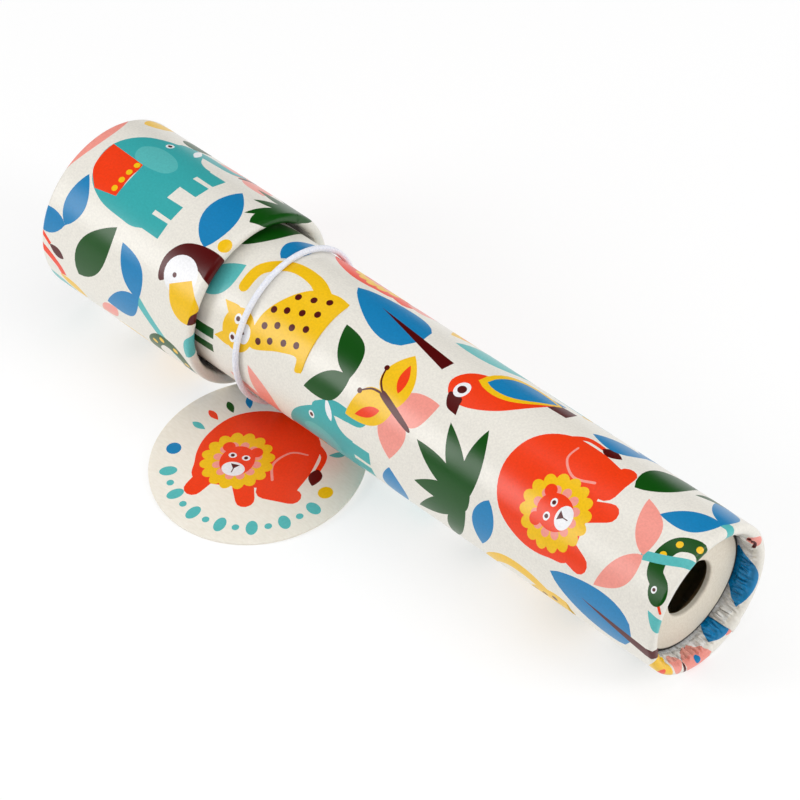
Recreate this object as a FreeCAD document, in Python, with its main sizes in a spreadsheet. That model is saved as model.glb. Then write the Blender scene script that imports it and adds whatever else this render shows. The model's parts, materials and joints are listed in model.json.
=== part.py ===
"""Children's card kaleidoscope, lying at rest with its gift tag on an elastic loop.

The viewing tube and the turning drum share one axis. Every piece on it is modelled in the tube's own
frame: +X along the axis from the drum's end face to the eye end, +Z up. The lie_down placement then
tips that frame a little, because the toy rests on the wide drum's rear lip and on the eye end's lip.
The finished frame has +Z up, the floor at Z = 0 and the origin under the middle of tube and drum.
"""
import FreeCAD
import Part
import Sketcher
import math
import os

from FreeCAD import Placement, Rotation, Vector

# Driving dimensions in millimetres, and angles in degrees.
DIMENSIONS = {
    "total_length": 170.6,
    "drum_length": 46.5,
    "drum_radius": 20,
    "tube_radius": 16.5,
    # printed paper and the card tubes it wraps
    "paper": 0.25,
    "card_wall": 1.7,
    "glue_line": 0.03,
    "lip_round": 1.08,
    "front_round": 0.8,
    "drum_turn_in": 9,
    "front_turn_in": 14,
    "eye_turn_in": 10,
    # bead chamber, from the drum's end face inwards
    "end_ring_start": 1.5,
    "end_ring_thickness": 1.2,
    "end_ring_bore": 15.6,
    "window_thickness": 1,
    "chamber_depth": 7,
    "chamber_bore": 16.4,
    "back_ring_thickness": 1.2,
    "back_ring_bore": 15,
    "axial_play": 0.3,
    # how the drum turns on the tube
    "running_gap": 0.06,
    "collar_start": 15.2,
    "collar_end": 22.7,
    "collar_radius": 17.7,
    "bush_length": 10,
    # mirrors and what holds them in the tube
    "mirror_start": 14.8,
    "mirror_length": 143.2,
    "mirror_offset": 6.6,
    "mirror_thickness": 1,
    "mirror_half_width": 11.35,
    "sleeve_thickness": 0.35,
    "fit_gap": 0.05,
    # eye end
    "eyepiece_depth": 5,
    "eyepiece_thickness": 1.2,
    "eyepiece_radius": 13.95,
    "eye_hole_radius": 6.1,
    "eye_hole_round": 0.5,
    "seat_ring_length": 3,
    "seat_ring_bore": 11,
    # loose beads
    "bead_radius": 1.6,
    "bead_gap": 0.15,
    # gift tag
    "tag_radius": 22.8,
    "tag_thickness": 0.6,
    "tag_hole_radius": 2.6,
    "tag_hole_offset": 18.3,
    "tag_hole_along": 57.9,
    "tag_hole_across": -4.5,
    "tag_turn": 24.5,
    "tag_lift": 2.6,
    # elastic
    "elastic_radius": 0.7,
    "knot_radius": 1.7,
    "knot_half_length": 2.2,
    "knot_angle": 131,
    "knot_gap": 0.2,
}

# Where each piece on the axis starts and ends, as expressions in the sheet's aliases.
DIFFUSER_START = "dims.end_ring_start + dims.end_ring_thickness"
CHAMBER_START = f"{DIFFUSER_START} + dims.window_thickness"
CHAMBER_END = f"{CHAMBER_START} + dims.chamber_depth"
BACK_RING_START = f"{CHAMBER_END} + dims.window_thickness"
BACK_RING_END = f"{BACK_RING_START} + dims.back_ring_thickness"
TUBE_START = f"{BACK_RING_END} + dims.axial_play"
BUSH_START = "dims.collar_end + dims.axial_play"
EYEPIECE_END = "dims.total_length - dims.eyepiece_depth"
SEAT_END = f"{EYEPIECE_END} - dims.eyepiece_thickness"
EYE_WINDOW_END = f"{SEAT_END} - dims.seat_ring_length"

# Radii of the card tubes and of the paper-lined bores.
WRAP_WALL = "(dims.card_wall + 2 * dims.paper)"
DRUM_BORE = f"dims.drum_radius - {WRAP_WALL}"
EYE_BORE = f"dims.tube_radius - {WRAP_WALL}"

# The elastic's route round the tube. Each point is (angle from the top towards +Y, distance from the
# axis); the loop leans a little, so a point's place along the tube follows from its angle.
ELASTIC_ROUTE = [
    (126, 17.62),
    (107, 17.62),
    (87, 17.62),
    (67, 17.62),
    (47, 17.62),
    (27, 17.62),
    (7, 17.62),
    (-13, 17.62),
    (-33, 17.62),
    (-53, 17.62),
    (-73, 17.62),
    (-93, 17.62),
    (-113, 17.62),
    (-132, 17.62),
    (-150, 17.75),
    (-164, 18.15),
    (-175.5, 19.02),
    (-187, 18.9),
    (-199, 18.1),
    (-211.5, 17.7),
    (-223.5, 17.62),
]
LOOP_MIDDLE = 57.3
LOOP_LEAN_UP = 0.6
LOOP_LEAN_ACROSS = 0.5

# Rows and rings of beads where they lie in the bottom of the chamber: (distance from the axis in bead
# radii inside the chamber's wall, number of beads side by side).
BEAD_RINGS = [(1, 7), (3.1, 5)]
BEAD_SHAPES = ["ball", "rod", "ring", "hexagon", "cube", "cone"]
BEAD_COLOURS = ["red", "blue", "green", "yellow", "pink", "teal"]

doc = FreeCAD.newDocument("kaleidoscope")
dims = doc.addObject("Spreadsheet::Sheet", "dims")
for row, (alias, value) in enumerate(DIMENSIONS.items(), start=1):
    dims.set(f"A{row}", alias)
    dims.set(f"B{row}", str(value))
    dims.setAlias(f"B{row}", alias)
doc.recompute()

subparts = []


def number(expression):
    """The value of an expression in the sheet's aliases."""
    return float(dims.evalExpression(str(expression)))


def lie_down():
    """The placement that lays the tube's frame on the floor, over the origin."""
    lip = number("dims.lip_round")
    front = number("dims.front_round")
    drum_lip = Vector(number("dims.drum_length") - lip, 0, number("dims.drum_radius") - lip)
    eye_lip = Vector(number("dims.total_length") - lip, 0, number("dims.tube_radius") - lip)
    front_lip = Vector(front, 0, number("dims.drum_radius") - front)
    tilt = math.atan2(drum_lip.z - eye_lip.z, eye_lip.x - drum_lip.x)
    height = drum_lip.x * math.sin(tilt) + drum_lip.z * math.cos(tilt) + lip
    low_x = front_lip.x * math.cos(tilt) - front_lip.z * math.sin(tilt) - front
    high_x = eye_lip.x * math.cos(tilt) + eye_lip.z * math.sin(tilt) + lip
    middle = (low_x + high_x) / 2
    return Placement(Vector(-middle, 0, height), Rotation(Vector(0, 1, 0), math.degrees(tilt)))


LIE_DOWN = lie_down()


def new_body(label, turn=0):
    """A body in the tube's frame, turned about the axis and laid on the floor."""
    body = doc.addObject("PartDesign::Body", label)
    body.Label = label
    body.Placement = LIE_DOWN * Placement(Vector(), Rotation(Vector(1, 0, 0), turn))
    subparts.append(body)
    return body


def new_sketch(body, name, plane, start=None):
    """A sketch on one of the body's own origin planes, start away from it along its normal."""
    sketch = body.newObject("Sketcher::SketchObject", name)
    origin_plane = [f for f in body.Origin.OriginFeatures if f.Role == plane][0]
    sketch.AttachmentSupport = [(origin_plane, "")]
    sketch.MapMode = "FlatFace"
    if start is not None:
        sketch.setExpression("AttachmentOffset.Base.z", start)
    return sketch


def bind(sketch, constraint, expression):
    """Adds a constraint and ties its value to the sheet."""
    index = sketch.addConstraint(constraint)
    sketch.setExpression(f"Constraints[{index}]", expression)


def outline(sketch, corners):
    """Closed outline through pairs of expressions; a third expression rounds a square corner."""
    places = [(number(corner[0]), number(corner[1])) for corner in corners]
    stops = []
    for i, corner in enumerate(corners):
        if len(corner) == 2:
            stops.append([corner])
            continue
        trimmed = []
        for neighbour in (places[i - 1], places[(i + 1) % len(corners)]):
            ends = []
            for axis in range(2):
                step = neighbour[axis] - places[i][axis]
                sign = (step > 1e-6) - (step < -1e-6)
                ends.append(f"({corner[axis]}) + {sign} * ({corner[2]})")
            trimmed.append(tuple(ends))
        stops.append(trimmed)
    first = sketch.GeometryCount
    path = [(stop, i, k) for i, group in enumerate(stops) for k, stop in enumerate(group)]
    spots = [Vector(number(stop[0]), number(stop[1]), 0) for stop, _, _ in path]
    for j, (_, i, k) in enumerate(path):
        here, there = spots[j], spots[(j + 1) % len(path)]
        if len(stops[i]) == 2 and k == 0:
            corner = Vector(*places[i], 0)
            centre = here + there - corner
            middle = centre + (corner - centre).normalize() * number(corners[i][2])
            sketch.addGeometry(Part.Arc(here, middle, there), False)
        else:
            sketch.addGeometry(Part.LineSegment(here, there), False)
    ends = [curve_ends(sketch, first + j, spots[j]) for j in range(len(path))]
    for j, (stop, i, k) in enumerate(path):
        after = (j + 1) % len(path)
        joint = Sketcher.Constraint("Coincident", first + j, ends[j][1], first + after, ends[after][0])
        sketch.addConstraint(joint)
        spot = spots[j]
        bind(sketch, Sketcher.Constraint("DistanceX", -1, 1, first + j, ends[j][0], spot.x), stop[0])
        bind(sketch, Sketcher.Constraint("DistanceY", -1, 1, first + j, ends[j][0], spot.y), stop[1])
        if len(stops[i]) == 2 and k == 0:
            size = number(corners[i][2])
            bind(sketch, Sketcher.Constraint("Radius", first + j, size), corners[i][2])


def curve_ends(sketch, index, start):
    """Which vertex of a sketch curve is at the given start, then which is its other end."""
    if sketch.getPoint(index, 1).distanceToPoint(start) < 1e-6:
        return 1, 2
    return 2, 1


def circle(sketch, radius):
    """Circle about the sketch's origin."""
    size = number(radius)
    index = sketch.addGeometry(Part.Circle(Vector(), Vector(0, 0, 1), size), False)
    sketch.addConstraint(Sketcher.Constraint("Coincident", index, 3, -1, 1))
    bind(sketch, Sketcher.Constraint("Radius", index, size), radius)


def pad(body, sketch, length):
    """Pads a sketch by a bound length."""
    feature = body.newObject("PartDesign::Pad", f"{sketch.Name}_pad")
    feature.Profile = sketch
    feature.Length = number(length)
    feature.setExpression("Length", length)
    doc.recompute()
    return feature


def cylinder_ring(body, start, end, outer, inner=None):
    """Pads a disc, or a ring if it has an inner radius, between two places on the axis."""
    sketch = new_sketch(body, f"{body.Name}_section", "YZ_Plane", start)
    circle(sketch, outer)
    if inner is not None:
        circle(sketch, inner)
    return pad(body, sketch, f"({end}) - ({start})")


def revolve(body, corners):
    """Revolves a closed outline of (along, radius) corners about the axis."""
    sketch = new_sketch(body, f"{body.Name}_profile", "XZ_Plane")
    outline(sketch, corners)
    feature = body.newObject("PartDesign::Revolution", f"{body.Name}_turned")
    feature.Profile = sketch
    feature.ReferenceAxis = (sketch, ["H_Axis"])
    feature.Angle = 360
    doc.recompute()
    return feature


def simple_ring(label, start, end, outer, inner=None):
    """A plain disc or ring on the axis as a body of its own."""
    body = new_body(label)
    cylinder_ring(body, start, end, outer, inner)
    return body


# ---------------------------------------------------------------- drum, the turning end

def make_drum_wrap():
    """Printed paper round the drum, folded over both ends and down inside."""
    body = new_body("drum_wrap")
    outer = "dims.drum_radius"
    end = "dims.drum_length"
    lip = "dims.lip_round"
    front = "dims.front_round"
    under = "dims.drum_radius - dims.paper"
    over = f"{DRUM_BORE} + dims.paper"
    inner_end = "dims.drum_length - dims.paper"
    inner_lip = "dims.lip_round - dims.paper"
    inner_front = "dims.front_round - dims.paper"
    folded_back_to = "dims.drum_length - dims.drum_turn_in"
    revolve(body, [
        ("dims.front_turn_in", DRUM_BORE),
        ("0", DRUM_BORE, front),
        ("0", outer, front),
        (end, outer, lip),
        (end, DRUM_BORE, lip),
        (folded_back_to, DRUM_BORE),
        (folded_back_to, over),
        (inner_end, over, inner_lip),
        (inner_end, under, inner_lip),
        ("dims.paper", under, inner_front),
        ("dims.paper", over, inner_front),
        ("dims.front_turn_in", over),
    ])


def make_drum_tube():
    """Wound card tube of the drum, inside its paper."""
    body = new_body("drum_tube")
    start = "dims.paper + dims.glue_line"
    end = "dims.drum_length - dims.paper - dims.glue_line"
    outer = "dims.drum_radius - dims.paper - dims.glue_line"
    inner = f"{DRUM_BORE} + dims.paper + dims.glue_line"
    lip = "dims.lip_round - dims.paper - dims.glue_line"
    front = "dims.front_round - dims.paper - dims.glue_line"
    revolve(body, [(start, inner, front), (start, outer, front), (end, outer, lip), (end, inner, lip)])


def make_drum_fittings():
    """What is glued inside the drum: the bead chamber's parts, and the bush it turns on."""
    lined = f"{DRUM_BORE} - dims.glue_line"
    simple_ring("end_ring", "dims.end_ring_start", DIFFUSER_START, lined, "dims.end_ring_bore")
    simple_ring("diffuser_window", DIFFUSER_START, CHAMBER_START, lined)
    simple_ring("chamber_spacer", CHAMBER_START, CHAMBER_END, lined, "dims.chamber_bore")
    simple_ring("chamber_window", CHAMBER_END, BACK_RING_START, lined)
    simple_ring("chamber_back_ring", BACK_RING_START, BACK_RING_END, lined, "dims.back_ring_bore")
    bush_outer = f"{DRUM_BORE} + dims.paper"
    bush_inner = "dims.tube_radius + dims.running_gap"
    simple_ring("drum_bush", BUSH_START, f"{BUSH_START} + dims.bush_length", bush_outer, bush_inner)


# ---------------------------------------------------------------- loose beads

def bead_solid(shape, name):
    """One bead as a Part primitive, no larger than a ball of the bead radius."""
    radius = "dims.bead_radius"
    if shape == "ball":
        kind, sizes = "Part::Sphere", {"Radius": radius}
    elif shape == "rod":
        kind, sizes = "Part::Cylinder", {"Radius": f"{radius} * 0.55", "Height": f"{radius} * 1.6"}
    elif shape == "ring":
        kind, sizes = "Part::Torus", {"Radius1": f"{radius} * 0.66", "Radius2": f"{radius} * 0.32"}
    elif shape == "hexagon":
        kind, sizes = "Part::Prism", {"Circumradius": f"{radius} * 0.9", "Height": f"{radius} * 0.8"}
    elif shape == "cube":
        side = f"{radius} * 1.12"
        kind, sizes = "Part::Box", {"Length": side, "Width": side, "Height": side}
    else:
        kind = "Part::Cone"
        sizes = {"Radius1": f"{radius} * 0.8", "Radius2": f"{radius} * 0.15", "Height": f"{radius} * 1.1"}
    bead = doc.addObject(kind, name)
    for key, expression in sizes.items():
        bead.setExpression(key, expression)
    return bead


def bead_places():
    """Middles of the beads, resting on each other in the bottom of the chamber."""
    radius = number("dims.bead_radius")
    gap = number("dims.bead_gap")
    rows = [number(CHAMBER_START) + radius + gap, number(CHAMBER_END) - radius - gap]
    for rings_in, count in BEAD_RINGS:
        reach = number("dims.chamber_bore") - gap - rings_in * radius
        step = math.degrees(2 * (radius + gap / 2) / reach)
        for i in range(count):
            angle = 180 + (i - (count - 1) / 2) * step
            for along in rows:
                yield along, angle, reach


def make_beads():
    """Six groups of loose beads, one node for each colour and shape."""
    groups = {colour: [] for colour in BEAD_COLOURS}
    for i, (along, angle, reach) in enumerate(bead_places()):
        kind = (i + i // len(BEAD_SHAPES)) % len(BEAD_SHAPES)
        colour = BEAD_COLOURS[kind]
        bead = bead_solid(BEAD_SHAPES[kind], f"{colour}_bead_{len(groups[colour]) + 1}")
        doc.recompute()
        turned = Rotation(Vector(1, 0, 0), angle) * Rotation(Vector(0, 1, 0), 90)
        middle = turned.multVec(bead.Shape.BoundBox.Center)
        across = reach * math.sin(math.radians(-angle))
        up = reach * math.cos(math.radians(-angle))
        bead.Placement = LIE_DOWN * Placement(Vector(along, across, up) - middle, turned)
        groups[colour].append(bead)
    for colour, beads in groups.items():
        group = doc.addObject("Part::Compound", f"beads_{colour}")
        group.Label = f"beads_{colour}"
        group.Links = beads
        subparts.append(group)


# ---------------------------------------------------------------- viewing tube

def make_body_wrap():
    """Printed paper round the viewing tube, folded over the eye end and down inside."""
    body = new_body("body_wrap")
    outer = "dims.tube_radius"
    end = "dims.total_length"
    lip = "dims.lip_round"
    under = "dims.tube_radius - dims.paper"
    over = f"{EYE_BORE} + dims.paper"
    inner_end = "dims.total_length - dims.paper"
    inner_lip = "dims.lip_round - dims.paper"
    folded_back_to = "dims.total_length - dims.eye_turn_in"
    revolve(body, [
        (TUBE_START, outer),
        (end, outer, lip),
        (end, EYE_BORE, lip),
        (folded_back_to, EYE_BORE),
        (folded_back_to, over),
        (inner_end, over, inner_lip),
        (inner_end, under, inner_lip),
        (TUBE_START, under),
    ])


def make_body_tube():
    """Wound card tube that the mirrors sit in."""
    body = new_body("body_tube")
    end = "dims.total_length - dims.paper - dims.glue_line"
    outer = "dims.tube_radius - dims.paper - dims.glue_line"
    inner = f"{EYE_BORE} + dims.paper + dims.glue_line"
    lip = "dims.lip_round - dims.paper - dims.glue_line"
    revolve(body, [(TUBE_START, inner), (TUBE_START, outer), (end, outer, lip), (end, inner, lip)])


def make_tube_fittings():
    """The collar that keeps the drum on, the tube's windows and the eyepiece with its seat."""
    collar_bore = "dims.tube_radius + dims.glue_line"
    simple_ring("retaining_collar", "dims.collar_start", "dims.collar_end", "dims.collar_radius", collar_bore)
    card_bore = f"{EYE_BORE} + dims.paper"
    window_start = f"{TUBE_START} + dims.axial_play"
    window_end = f"{window_start} + dims.window_thickness"
    simple_ring("front_window", window_start, window_end, card_bore)
    lined = f"{EYE_BORE} - dims.glue_line"
    simple_ring("eye_window", f"{EYE_WINDOW_END} - dims.window_thickness", EYE_WINDOW_END, lined)
    simple_ring("eye_seat_ring", EYE_WINDOW_END, SEAT_END, lined, "dims.seat_ring_bore")
    eyepiece = new_body("eyepiece_disc")
    rim = "dims.eyepiece_radius"
    hole = "dims.eye_hole_radius"
    soft = "dims.eye_hole_round"
    corners = [(SEAT_END, hole), (EYEPIECE_END, hole, soft), (EYEPIECE_END, rim, soft), (SEAT_END, rim)]
    revolve(eyepiece, corners)


def make_mirrors():
    """Three mirror strips in a triangle, face inwards."""
    half = "dims.mirror_half_width"
    near = "dims.mirror_offset"
    far = f"{near} + dims.mirror_thickness"
    for i in range(3):
        body = new_body(f"mirror_{i + 1}", turn=120 * i)
        sketch = new_sketch(body, f"mirror_{i + 1}_section", "YZ_Plane", "dims.mirror_start")
        outline(sketch, [(f"-({half})", near), (half, near), (half, far), (f"-({half})", far)])
        pad(body, sketch, "dims.mirror_length")


def hexagon_corners(distance, half_width):
    """Corners of the six-sided outline that hugs the three strips, as expressions."""
    corners = []
    for side in range(3):
        angle = 120 * side
        for end in (1, -1):
            across = f"({end} * ({half_width}) * cos({angle} deg) - ({distance}) * sin({angle} deg))"
            up = f"({end} * ({half_width}) * sin({angle} deg) + ({distance}) * cos({angle} deg))"
            corners.append((across, up))
    return corners


def make_mirror_sleeve():
    """Thin card folded round the three mirrors."""
    body = new_body("mirror_sleeve")
    sketch = new_sketch(body, "mirror_sleeve_section", "YZ_Plane", "dims.mirror_start")
    inside = "dims.mirror_offset + dims.mirror_thickness + dims.fit_gap"
    half = "dims.mirror_half_width + dims.fit_gap"
    grown_half = f"{half} + dims.sleeve_thickness * tan(30 deg)"
    outline(sketch, hexagon_corners(inside, half))
    outline(sketch, hexagon_corners(f"{inside} + dims.sleeve_thickness", grown_half))
    pad(body, sketch, "dims.mirror_length")


def make_packing_pads():
    """Soft pads that fill the tube outside the sleeve's three flat sides."""
    radius = f"{EYE_BORE} + dims.paper - dims.fit_gap"
    chord = "dims.mirror_offset + dims.mirror_thickness + dims.sleeve_thickness + 2 * dims.fit_gap"
    for i in range(3):
        name = f"packing_pad_{i + 1}"
        body = new_body(name, turn=120 * i)
        cylinder_ring(body, "dims.mirror_start", "dims.mirror_start + dims.mirror_length", radius)
        before = body.Shape.Volume
        sketch = new_sketch(body, f"{name}_flat", "YZ_Plane", "dims.mirror_start")
        wide = "dims.tube_radius"
        outline(sketch, [(f"-{wide}", f"-{wide}"), (wide, f"-{wide}"), (wide, chord), (f"-{wide}", chord)])
        cut = body.newObject("PartDesign::Pocket", f"{name}_cut")
        cut.Profile = sketch
        cut.Type = "ThroughAll"
        cut.Reversed = True
        doc.recompute()
        if not body.Shape.Volume < before / 2:
            raise RuntimeError(f"{name} was not cut")


# ---------------------------------------------------------------- gift tag and its elastic

def make_tag():
    """Round card tag, lying with its far edge on the floor and its hole over the elastic."""
    body = doc.addObject("PartDesign::Body", "tag_card")
    body.Label = "tag_card"
    subparts.append(body)
    sketch = new_sketch(body, "tag_outline", "XY_Plane")
    circle(sketch, "dims.tag_radius")
    size = number("dims.tag_hole_radius")
    offset = number("dims.tag_hole_offset")
    hole = sketch.addGeometry(Part.Circle(Vector(0, offset, 0), Vector(0, 0, 1), size), False)
    sketch.addConstraint(Sketcher.Constraint("PointOnObject", hole, 3, -2))
    bind(sketch, Sketcher.Constraint("DistanceY", -1, 1, hole, 3, offset), "dims.tag_hole_offset")
    bind(sketch, Sketcher.Constraint("Radius", hole, size), "dims.tag_hole_radius")
    pad(body, sketch, "dims.tag_thickness")
    lifted = Rotation(Vector(1, 0, 0), number("dims.tag_lift"))
    turned = Rotation(Vector(0, 0, 1), number("dims.tag_turn")) * lifted
    low_edge = turned.multVec(Vector(0, -number("dims.tag_radius"), 0))
    hole_place = turned.multVec(Vector(0, offset, 0))
    along = LIE_DOWN.Base.x + number("dims.tag_hole_along")
    across = number("dims.tag_hole_across")
    body.Placement = Placement(Vector(along - hole_place.x, across - hole_place.y, -low_edge.z), turned)


def route_points():
    """The elastic's route in the finished frame."""
    points = []
    for angle, reach in ELASTIC_ROUTE:
        sine = math.sin(math.radians(angle))
        cosine = math.cos(math.radians(angle))
        along = LOOP_MIDDLE - LOOP_LEAN_UP * cosine - LOOP_LEAN_ACROSS * sine
        points.append(LIE_DOWN.multVec(Vector(along, reach * sine, reach * cosine)))
    return points


def rounded_path(points):
    """Straight runs joined by tangent arcs, and each arc's radius."""
    edges = []
    radii = []
    here = points[0]
    for before, corner, after in zip(points, points[1:], points[2:]):
        back = before - corner
        ahead = after - corner
        half_turn = (math.pi - back.getAngle(ahead)) / 2
        trim = 0.45 * min(back.Length, ahead.Length)
        radius = trim / math.tan(half_turn)
        arc_start = corner + back.normalize() * trim
        arc_end = corner + ahead.normalize() * trim
        inward = (back + ahead).normalize()
        arc_middle = corner + inward * (radius / math.cos(half_turn) - radius)
        edges.append(Part.LineSegment(here, arc_start).toShape())
        edges.append(Part.Arc(arc_start, arc_middle, arc_end).toShape())
        radii.append(radius)
        here = arc_end
    edges.append(Part.LineSegment(here, points[-1]).toShape())
    return Part.Wire(edges), radii


def make_elastic():
    """Round braided elastic, tied in a loop round the tube and through the tag's hole."""
    radius = number("dims.elastic_radius")
    points = route_points()
    path, radii = rounded_path(points)
    start = (points[1] - points[0]).normalize()
    section = Part.Wire(Part.Circle(points[0], start, radius).toShape())
    cord = path.makePipeShell([section], True, False, 2)
    expected = math.pi * radius**2 * path.Length
    if abs(cord.Volume - expected) > 0.01 * expected:
        raise RuntimeError(f"the elastic's volume is {cord.Volume:.1f}, not {expected:.1f}")
    print("elastic length", round(path.Length, 1), "arc radii", [round(r, 1) for r in radii])
    elastic = doc.addObject("Part::Feature", "elastic_loop")
    elastic.Label = "elastic_loop"
    elastic.Shape = cord
    elastic.Placement = Placement()
    subparts.append(elastic)


def make_knot():
    """The knot that ties the elastic's two ends, low on the tube's far side."""
    knot = doc.addObject("Part::Ellipsoid", "elastic_knot")
    knot.Label = "elastic_knot"
    knot.setExpression("Radius1", "dims.knot_radius")
    knot.setExpression("Radius2", "dims.knot_radius")
    knot.setExpression("Radius3", "dims.knot_half_length")
    angle = number("dims.knot_angle")
    sine = math.sin(math.radians(angle))
    cosine = math.cos(math.radians(angle))
    reach = number("dims.tube_radius + dims.knot_radius + dims.knot_gap")
    along = LOOP_MIDDLE - LOOP_LEAN_UP * cosine - LOOP_LEAN_ACROSS * sine
    facing = Rotation(Vector(1, 0, 0), -angle)
    knot.Placement = LIE_DOWN * Placement(Vector(along, reach * sine, reach * cosine), facing)
    subparts.append(knot)


def check_and_export():
    """Stops on any failed object or bad solid, then writes one STEP file for each sub-part."""
    doc.recompute()
    for thing in doc.Objects:
        if "Invalid" in thing.State or "Error" in thing.State:
            raise RuntimeError(f"{thing.Label} failed: {thing.State}")
    os.makedirs("parts", exist_ok=True)
    for subpart in subparts:
        shape = subpart.Shape
        if shape.isNull() or not shape.isValid() or shape.Volume <= 0:
            raise RuntimeError(f"{subpart.Label} is not a sound solid")
        shape.exportStep(f"parts/{subpart.Label}.step")
    print(len(subparts), "sub-parts written")


make_body_wrap()
make_body_tube()
make_tube_fittings()
make_mirrors()
make_mirror_sleeve()
make_packing_pads()
make_drum_wrap()
make_drum_tube()
make_drum_fittings()
make_beads()
make_elastic()
make_knot()
make_tag()
check_and_export()
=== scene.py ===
"""Looks of a card kaleidoscope, lying on a pale floor with its gift tag.

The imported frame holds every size. Printed artwork is drawn flat, in millimetres, on the unrolled paper:
motifs have +Y up and +X to the right, and up on the toy points to the drum's end. A sheet is cut along its
artwork's outlines and rolled round its tube, so that every printed edge is a real edge of the mesh.
"""

import json
import random
from math import atan2, cos, degrees, hypot, pi, radians, sin, tau

import bpy
from mathutils import Matrix, Vector
from mathutils.geometry import delaunay_2d_cdt


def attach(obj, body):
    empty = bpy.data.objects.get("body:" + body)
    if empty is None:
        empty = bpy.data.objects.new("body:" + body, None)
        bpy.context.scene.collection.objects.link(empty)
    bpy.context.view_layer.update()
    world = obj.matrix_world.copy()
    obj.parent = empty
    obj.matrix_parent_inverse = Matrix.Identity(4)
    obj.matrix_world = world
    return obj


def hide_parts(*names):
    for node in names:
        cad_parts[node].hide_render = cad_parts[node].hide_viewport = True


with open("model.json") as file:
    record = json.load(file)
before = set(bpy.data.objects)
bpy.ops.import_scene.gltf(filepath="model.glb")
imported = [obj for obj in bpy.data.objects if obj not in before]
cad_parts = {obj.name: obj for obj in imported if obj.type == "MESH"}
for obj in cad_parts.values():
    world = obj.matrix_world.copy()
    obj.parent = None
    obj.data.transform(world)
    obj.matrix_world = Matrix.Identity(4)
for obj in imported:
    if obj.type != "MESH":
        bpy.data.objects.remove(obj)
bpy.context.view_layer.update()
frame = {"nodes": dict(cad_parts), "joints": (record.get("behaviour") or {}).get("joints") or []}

MM = 0.001
JOINTS = {joint["name"]: joint for joint in frame["joints"]}
SPIN_JOINT_ALONG = 28  # millimetres from the drum's end
AXIS = Vector(JOINTS["drum_spin"]["axis"]).normalized()
START = Vector(JOINTS["drum_spin"]["pos_m"]) - MM * SPIN_JOINT_ALONG * AXIS
UP = Vector((-AXIS.z, 0, AXIS.x))
SIDE = Vector((0, 1, 0))

# Sizes of the CAD model that the sheets and the cord follow, in millimetres.
TUBE_RADIUS = 16.5
DRUM_RADIUS = 20
WALL = 2.2
PAPER = 0.25
DRUM_LENGTH = 46.5
TOTAL_LENGTH = 170.6
TUBE_START = 13.2
LIP_ROUND = 1.08
FRONT_ROUND = 0.8
EYE_TURN_IN = 10
EYEPIECE_DEPTH = 5
EYEPIECE_RADIUS = 13.95
PLEATS_SEEN = 178
DRUM_TURN_IN = 9
FRONT_TURN_IN = 14
CREASES_START = 0.6
BODY_SEAM = radians(147)
BODY_LAP = 2.6
BODY_LAP_START = DRUM_LENGTH - 8
DRUM_SEAM = radians(152)
DRUM_LAP_START = 4
TAG_RADIUS = 22.8
TAG_THICKNESS = 0.6
TAG_HOLE_RADIUS = 2.6
TAG_HOLE_OFFSET = 18.3
TAG_LION_RAISED = 1.2
TAG_LEAF_RING = 18.4
TAG_DOT_RING = 18.6
TAG_EDGE = 0.5
TAG_EDGE_DROP = 0.12
TAG_TURN = radians(24.5)
TAG_LIFT = radians(2.6)
CORD_RADIUS = 0.7
CORD_STEP = 0.13
KNOT_STRAND = 0.6

# The elastic's route: (angle from the top towards +Y in degrees, distance from the axis), and its lean.
CORD_REACH = 17.62
CORD_ROUTE = [(angle, CORD_REACH) for angle in (126, *range(107, -114, -20), -132)] + [
    (-150, 17.75), (-164, 18.15), (-175.5, 19.02), (-187, 18.9), (-199, 18.1), (-211.5, 17.7),
    (-223.5, CORD_REACH),
]
LOOP_MIDDLE = 57.3
LOOP_LEAN_UP = 0.6
LOOP_LEAN_ACROSS = 0.5
KNOT_ANGLE = 131
KNOT_REACH = TUBE_RADIUS + 1.9


def on_axis(along, angle, reach):
    """The point that far along the toy, at an angle from its top towards +Y, and that far from its axis."""
    return START + MM * (AXIS * along + reach * (UP * cos(angle) + SIDE * sin(angle)))


def new_object(name, data):
    """An object with that data, linked into the scene."""
    thing = bpy.data.objects.new(name, data)
    bpy.context.scene.collection.objects.link(thing)
    return thing


def smooth_step(value):
    """Eases from 0 to 1 as the value goes from 0 to 1."""
    value = min(max(value, 0), 1)
    return value * value * (3 - 2 * value)


# ---- materials

INKS = {
    "paper": "E8E4DB",
    "white": "EEEEF0",
    "orange": "F23A00",
    "blue": "0A7FB8",
    "green": "0A4E08",
    "teal": "36A9AB",
    "mint": "56B8B7",
    "yellow": "F2C000",
    "pink": "F2988B",
    "maroon": "540000",
}
# Prefix of the creased inks, whose streaks are painted highlight and painted shade.
CREASED_PAINTED_LIGHT_AND_SHADE = "creased "
BEADS = {"red": "D21F1A", "blue": "1C49C4", "green": "128A35", "yellow": "F1C40F", "pink": "E8528F",
         "teal": "12A3A0"}

# Sockets of a colour mix node.
MIX_SHARE, MIX_FIRST, MIX_SECOND, MIX_RESULT = 0, 6, 7, 2


def linear(code):
    """A colour written as six hexadecimal digits, as linear RGBA."""
    parts = [int(code[i:i + 2], 16) / 255 for i in (0, 2, 4)]
    return tuple(c / 12.92 if c <= 0.04045 else ((c + 0.055) / 1.055) ** 2.4 for c in parts) + (1,)


def shaded(code, share):
    """The same colour, that many times as bright."""
    return "".join(f"{min(255, round(int(code[i:i + 2], 16) * share)):02X}" for i in (0, 2, 4))


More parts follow.
